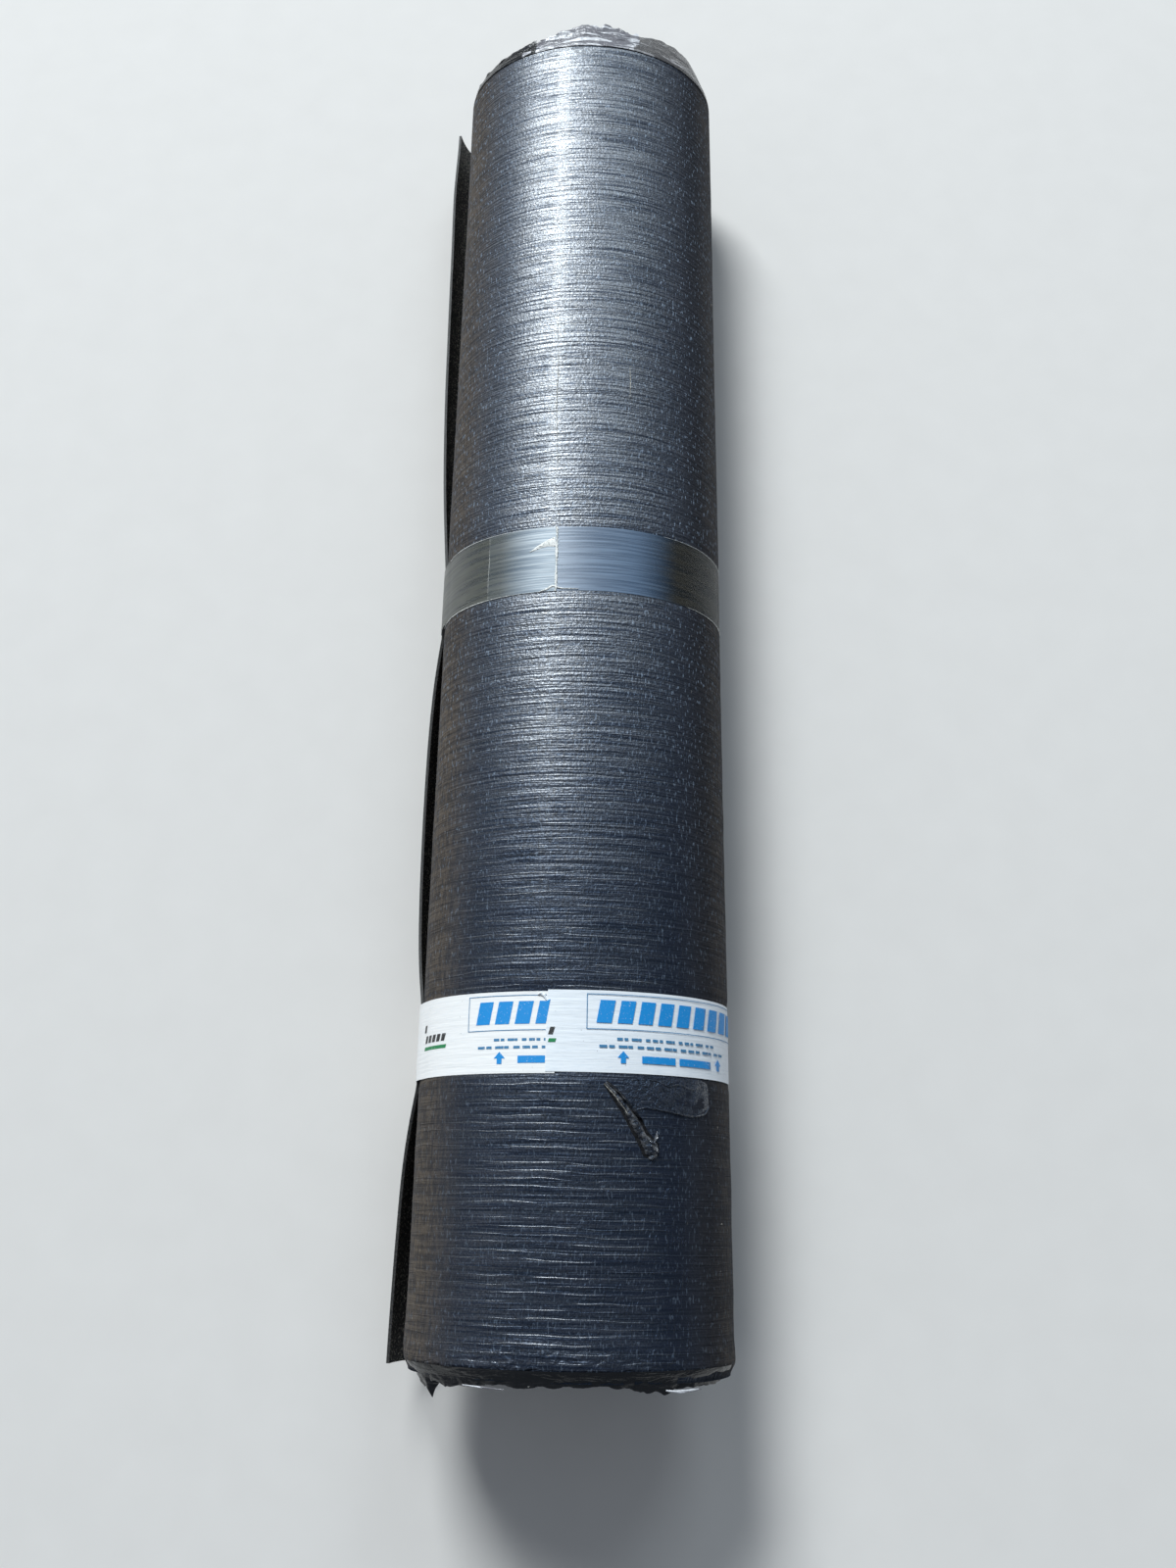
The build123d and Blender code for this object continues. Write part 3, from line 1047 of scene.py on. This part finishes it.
def bitumen_film():
    """Black bitumen under thin film: fine ribs round the roll, short creases along it, dusty sides whose
    brown also paints the ground's reflection, painted shade on the right side and painted glints.
    """
    s = Shade("bitumen_film")
    around, place, _ = s.split(s.flat())
    side = s.facing()
    far = s.span(place, 0.1, 0.62)

    def growing(near_value, far_value):
        return s.span(far, 0, 1, near_value, far_value)

    # Raised lines at an even step, which bend a little and break off
    bends = s.streaks(34, 70, 1) * 0.7 + (s.streaks(5, 12, 1) - 0.5) * 2
    away = abs(s.math("FRACT", place * (1 / RIB_STEP) + bends) - 0.5) * 2
    kept = s.span(s.streaks(22, 190), 0.36, 0.62)
    lines = s.span(away, 0, 0.19, 1, 0) * kept * growing(0.22, 0.1)

    # The film's height, and the height of the bitumen under it
    ribs = s.streaks(13, 330, 2.5, 0.6, 0.2)
    dashes = s.span(s.streaks(480, 110), 0.55, 0.66)
    grain = s.streaks(480, 480, 2, 0.6)
    wrinkles = s.streaks(120, 200, 2, 0.5, 0.6) * s.span(place, 0.004, 0.034, 1.5, 0)
    film = ribs * growing(0.58, 0.8) + lines + wrinkles + grain * growing(0.2, 0.34)
    height = film + ribs * growing(0.2, 0.4) + dashes * 0.34 + grain * growing(0.15, 0.35)

    # Dust on both sides, with specks, its brown also a painted reflection of the ground, and painted shade
    # on the right side, darkest just before its flank
    dust_and_reflection_mask = s.span(side, -0.45, -0.9) + s.span(side, 0.42, 0.8)
    dust_and_reflection_mask = dust_and_reflection_mask * s.span(s.streaks(14, 9, 3), 0.2, 0.7, 0.75, 1)
    hatch = s.streaks(440, 90, 1) * 0.5 + ribs * 0.5
    full = colours().dust_and_reflection
    dust_and_reflection = s.mix(s.span(hatch, 0.42, 0.58), [0.5 * c for c in full], full)
    # Painted shade: the right side darkened towards black, most just before its flank
    painted_shade_right = s.span(side, 0.2, 0.55, 0, 0.92) - s.span(side, 0.72, 0.94, 0, 0.5)
    dust_and_reflection = s.mix(painted_shade_right, dust_and_reflection, (0.012, 0.008, 0.004))
    specks = s.span(s.streaks(330, 210, 1), 0.74, 0.8, 0, 0.55)
    dust_and_reflection = s.mix(specks, dust_and_reflection, (0.34, 0.31, 0.26))

    # The face's own colour, with short bright ticks that are painted glints; its rims are black
    tint = s.mix(s.span(ribs, 0.35, 0.6), colours().bitumen, (0.006, 0.008, 0.015))
    painted_glints = s.span(s.streaks(760, 210, 1), 0.62, 0.69) * growing(0.17, 0.62)
    colour = s.mix(painted_glints, s.mix(dust_and_reflection_mask, tint, dust_and_reflection), (0.24, 0.3, 0.38))
    inside = s.span(place, 0.9955, 0.9985, 1, 0) * s.span(place, 0, 0.004)
    colour = s.mix(inside, (0.004, 0.004, 0.005), colour)
    s.main(Base_Color=colour, Roughness=s.span(dust_and_reflection_mask, 0, 1, 0.46, 0.95))
    s.main(Specular_IOR_Level=0.5, Specular_Tint=(0.43, 0.63, 1), Normal=s.bump(height, 1 * MM))

    # The clear film lies in narrow rings that break off, more closed towards the far end
    sparkle = s.span(s.streaks(900, 900, 1), 0.35, 0.6, 0.38, 1)
    clear = s.span(s.streaks(16, 620, 1.5, 0.6), 0.36, 0.54, 0.2, 1) * sparkle * inside
    ring = s.math("FRACT", place * (1 / RING_STEP) + bends * 1.6)
    ring = s.span(abs(ring - 0.5), 0.04, 0.13, 1, 0) * s.span(s.streaks(9, 260), 0.38, 0.6)
    ridges = s.span(away, 0, 0.4, 1, 0) * kept * 0.62 + 0.42
    clear = clear * (ring * -0.82 + 1) * s.math("MAXIMUM", ridges, s.span(place, 0.1, 0.5))
    core = s.span(abs(around + 0.021), 0.002, 0.01, 0.8, 0)
    clear = s.math("MAXIMUM", clear, core * (far * sparkle))
    clear = clear * s.span(far * -0.12 + side, 0.26, 0.56, 1, 0.02)
    clear = clear * s.span(side, -0.4, -0.8, 1, 0)
    return s.main(Coat_Weight=clear, Coat_Roughness=0.385, Coat_IOR=2.28, Coat_Normal=s.bump(film, 1 * MM))


def sanded_back():
    """The inner face: black bitumen with pale grains pressed in."""
    s = Shade("sanded_back")
    grains = s.outputs("ShaderNodeTexVoronoi", Vector=s.object(), Scale=620)
    tone = s.split(grains["Color"])[0]
    pale = s.span(grains["Distance"], 0.15, 0.55, 1, 0) * s.span(s.noise(300, 3, 0.6), 0.3, 0.46)
    pale = pale * s.span(tone, 0.1, 0.8, 0.2, 1)
    colour = s.mix(pale, (0.03, 0.029, 0.027), colours().sand)
    return s.main(Base_Color=colour, Roughness=0.85, Normal=s.bump(pale, 0.7 * MM))


def cut_edge():
    """The sheet's cut edges and the faces between the turns: dull black, slightly torn."""
    s = Shade("cut_edge")
    torn = s.noise(700, 3, 0.6)
    colour = s.mix(s.span(torn, 0.35, 0.7), (0.008, 0.008, 0.009), (0.045, 0.042, 0.038))
    s.main(Base_Color=colour, Roughness=s.span(torn, 0.3, 0.7, 0.45, 0.75))
    return s.main(Normal=s.bump(torn, 0.6 * MM))


def label_paper():
    """White paper with faint streaks along the band and the felt's ribs showing through."""
    s = Shade("label_paper")
    fibres = s.streaks(120, 900, 3, 0.6)
    ribs = s.streaks(22, 330, 2, 0.5, 0.2)
    specks = s.streaks(500, 500, 1)
    top_piece = s.span(s.split(s.flat())[0], -0.22, -0.2)
    plain = s.mix(top_piece, colours().paper, (0.83, 0.86, 0.89))
    streak = s.mix(top_piece, (0.8, 0.82, 0.84), (0.66, 0.72, 0.79))
    colour = s.mix(s.span(fibres, 0.42, 0.75, 0, 0.55), plain, streak)
    colour = s.mix(s.span(specks, 0.77, 0.8, 0, 0.7), colour, (0.25, 0.24, 0.22))
    return s.main(Base_Color=colour, Roughness=0.55, Normal=s.bump(fibres * 0.25 + ribs, 0.3 * MM))


def two_toned(name, noise, low, high, first, second, depth=0, share=1, **main):
    """Two colours parted by noise, of which this share of the second shows, with bumps of this depth."""
    s = Shade(name)
    parted = s.noise(*noise)
    if depth:
        s.main(Normal=s.bump(parted, depth))
    return s.main(Base_Color=s.mix(s.span(parted, low, high, 0, share), first, second), **main)


def ink(name, colour):
    """Printed ink with small gaps where the paper shows."""
    return two_toned(name, (900, 3, 0.7), 0.6, 0.72, colour, colours().paper, share=0.55, Roughness=0.5)


def clear_tape(overlap):
    """Clear tape: smooth and glossy, milky where it lies double, drawn out in fine streaks."""
    s = Shade("clear_tape")
    around = s.split(s.flat())[0]
    side = s.facing()
    left, right = s.span(side, -0.1, -0.45), s.span(side, 0.24, 0.56)
    streaks = s.streaks(14, 640, 3, 0.65)
    ribs = s.streaks(22, 330, 2, 0.5, 0.2)
    under_edge = s.span(around, -overlap - 0.3 * MM, -overlap + 0.3 * MM) * 0.1
    double = s.math("MAXIMUM", under_edge, s.span(around, -overlap, -4 * MM))
    plain = s.mix(s.span(streaks, 0.4, 0.7), (0.02, 0.075, 0.17), (0.09, 0.19, 0.34))
    milky = s.mix(s.span(streaks, 0.4, 0.65), (0.11, 0.19, 0.27), (0.42, 0.5, 0.55))
    # The felt showing through the tape's sides: painted light on the left side, painted shade on the right
    tape_painted_shade = s.mix(s.span(ribs, 0.35, 0.6), (0.012, 0.011, 0.008), (0.036, 0.03, 0.018))
    tape_painted_light = s.mix(s.span(ribs, 0.35, 0.6), (0.02, 0.024, 0.021), (0.08, 0.08, 0.056))
    colour = s.mix(double, s.mix(left, s.mix(right, plain, tape_painted_shade), tape_painted_light), milky)
    s.main(Base_Color=colour, Roughness=0.42, Alpha=0.6, Normal=s.bump(streaks * 0.5 + ribs, 0.4 * MM))
    s.main(Specular_IOR_Level=0.6, Specular_Tint=(0.75, 0.88, 1))
    clear = s.span(streaks, 0.3, 0.6, 0.5, 1) * s.span(right, 0, 1, 1, 0.05)
    return s.main(Coat_Weight=clear, Coat_Roughness=0.42, Coat_IOR=2.2)


def tape_crease():
    """Whitened, folded tape."""
    grey, white = (0.3, 0.31, 0.29), (0.92, 0.91, 0.87)
    noise = (800, 3, 0.7)
    return two_toned("tape_crease", noise, 0.34, 0.5, grey, white, 0.6 * MM, Roughness=0.35, Alpha=0.95)


def torn_film(name, dark, pale):
    """Glossy black bitumen, rucked up."""
    s = Shade(name)
    rucks, fine = s.noise(260, 3, 0.6), s.noise(900)
    colour = s.mix(s.span(rucks, 0.4, 0.62), dark, pale)
    s.main(Base_Color=colour, Roughness=0.42, Specular_IOR_Level=0.5, Specular_Tint=BLUE_GLOSS)
    s.main(Normal=s.bump(fine * 0.25 + rucks, 2.2 * MM))
    return s.main(Coat_Weight=s.span(fine, 0.4, 0.6, 0.15, 1), Coat_Roughness=0.14, Coat_IOR=1.9)


def bare_bitumen():
    """Dull black bitumen where the film is gone, widened round the torn strip as painted shadow."""
    tones = (0.002, 0.002, 0.003), (0.009, 0.009, 0.011)
    dull = {"Roughness": 0.75, "Specular_IOR_Level": 0.25}
    return two_toned("bare_bitumen", (600,), 0.4, 0.7, *tones, 0.6 * MM, **dull)


def fleck():
    """Small pale marks and crumbs, and the painted highlight on the torn strip's edge."""
    return two_toned("fleck", (500,), 0.4, 0.6, (0.16, 0.15, 0.13), (0.46, 0.44, 0.39), Roughness=0.6)


def film_look(name, dark, pale, share, alpha, ruck):
    """Thin crinkled film: dark where it lies smooth, pale along its folds, which is whitened film and
    painted highlight; share says how much.
    """
    s = Shade(name)
    mingled = s.noise(420, 3, 0.6) * 0.15 + s.streaks(42, 210, 3, 0.55, 0.9) * 0.85
    # The pale fold streaks are whitened film and painted highlights
    white = s.span(mingled, 0.6 - share, 0.72 - share)
    s.main(Base_Color=s.mix(white, dark, pale), Roughness=0.22, Alpha=alpha)
    return s.main(Normal=s.bump(mingled, ruck), Specular_IOR_Level=0.5)


# The stage

FLOOR_SIZE = 14
KEY_SPREAD = radians(100)
SIDE_SHARE = 0.40
FILL_SHARE = 0.0168
SENSOR_WIDTH = 36
CAMERA_PLACE = (0.0152, -0.4076, 0.9409)
CAMERA_TURN = (18.62, -0.21, 0.84)


def add_lamp(name, place, target, size, power, colour):
    """A square lamp that faces its target."""
    data = bpy.data.lights.new(name, "AREA")
    data.size = size
    data.energy = power
    data.color = colour
    lamp = bpy.data.objects.new(name, data)
    lamp.location = place
    lamp.rotation_euler = (Vector(target) - Vector(place)).to_track_quat("-Z", "Y").to_euler()
    bpy.context.scene.collection.objects.link(lamp)
    return data


class ROLL_OT_stage(bpy.types.Operator):
    """Adds the floor, the lamps and the camera."""

    bl_idname = "felt_roll.stage"
    bl_label = "Floor, lamps and camera"

    def execute(self, context):
        settings = stage()
        bpy.ops.mesh.primitive_plane_add(size=FLOOR_SIZE)
        floor = context.active_object
        floor.name = "floor"
        s = Shade("floor")
        tone = s.mix(s.noise(30, 3), (0.70, 0.67, 0.64), (0.74, 0.71, 0.68))
        floor.data.materials.append(s.main(Base_Color=tone, Roughness=0.9))

        world = bpy.data.worlds.new("sky")
        context.scene.world = world
        world.use_nodes = True
        light = world.node_tree.nodes["Background"]
        light.inputs[0].default_value = (0.72, 0.84, 1.0, 1)
        light.inputs[1].default_value = settings.sky

        power = settings.key_power
        far, near = (0, 0.1, 0.1), (0, -0.1, 0.1)
        key = add_lamp("key", (-2.60, 7.02, 6.14), far, 3.2, power, (0.90, 0.967, 1.0))
        key.spread = KEY_SPREAD
        add_lamp("side", (2.5, 6.6, 5.7), far, 3.2, power * SIDE_SHARE, (0.80, 0.92, 1.0))
        add_lamp("fill", (-2.6, -0.6, 2.0), near, 2.0, power * FILL_SHARE, (1.0, 0.98, 0.95))

        view = bpy.data.cameras.new("camera")
        view.lens = settings.focal
        view.sensor_width = SENSOR_WIDTH
        camera = bpy.data.objects.new("camera", view)
        camera.location = CAMERA_PLACE
        camera.rotation_euler = [radians(angle) for angle in CAMERA_TURN]
        context.scene.collection.objects.link(camera)
        context.scene.camera = camera
        context.scene.view_settings.view_transform = "Standard"
        return {"FINISHED"}


class ROLL_PT_panel(bpy.types.Panel):
    """Lists the pieces in the 3D view's sidebar."""

    bl_label = "Roofing felt roll"
    bl_space_type = "VIEW_3D"
    bl_region_type = "UI"
    bl_category = "Felt roll"

    def draw(self, context):
        for group in (roll(), bands(), colours(), stage()):
            for key in group.bl_rna.properties.keys():
                if key not in ("rna_type", "name"):
                    self.layout.prop(group, key)
        for operator in OPERATORS:
            self.layout.operator(operator.bl_idname)


OPERATORS = (
    ROLL_OT_outer_sheet,
    ROLL_OT_wound_turns,
    ROLL_OT_paper_label,
    ROLL_OT_label_print,
    ROLL_OT_clear_tape,
    ROLL_OT_tape_creases,
    ROLL_OT_scuffs,
    ROLL_OT_film_edges,
    ROLL_OT_stage,
)
GROUPS = {
    "felt_roll_sizes": RollSizes,
    "felt_roll_bands": BandSizes,
    "felt_roll_colours": RollColours,
    "felt_roll_stage": StageSettings,
}


def register():
    for name, group in GROUPS.items():
        bpy.utils.register_class(group)
        setattr(bpy.types.Scene, name, PointerProperty(type=group))
    for operator in OPERATORS:
        bpy.utils.register_class(operator)
    bpy.utils.register_class(ROLL_PT_panel)


def unregister():
    bpy.utils.unregister_class(ROLL_PT_panel)
    for operator in reversed(OPERATORS):
        bpy.utils.unregister_class(operator)
    for name, group in GROUPS.items():
        delattr(bpy.types.Scene, name)
        bpy.utils.unregister_class(group)


def main():
    register()
    bpy.ops.felt_roll.outer_sheet()
    bpy.ops.felt_roll.wound_turns()
    bpy.ops.felt_roll.paper_label()
    bpy.ops.felt_roll.label_print()
    bpy.ops.felt_roll.clear_tape()
    bpy.ops.felt_roll.tape_creases()
    bpy.ops.felt_roll.scuffs()
    bpy.ops.felt_roll.film_edges()
    bpy.ops.felt_roll.stage()
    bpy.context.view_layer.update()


if __name__ == "__main__":
    main()
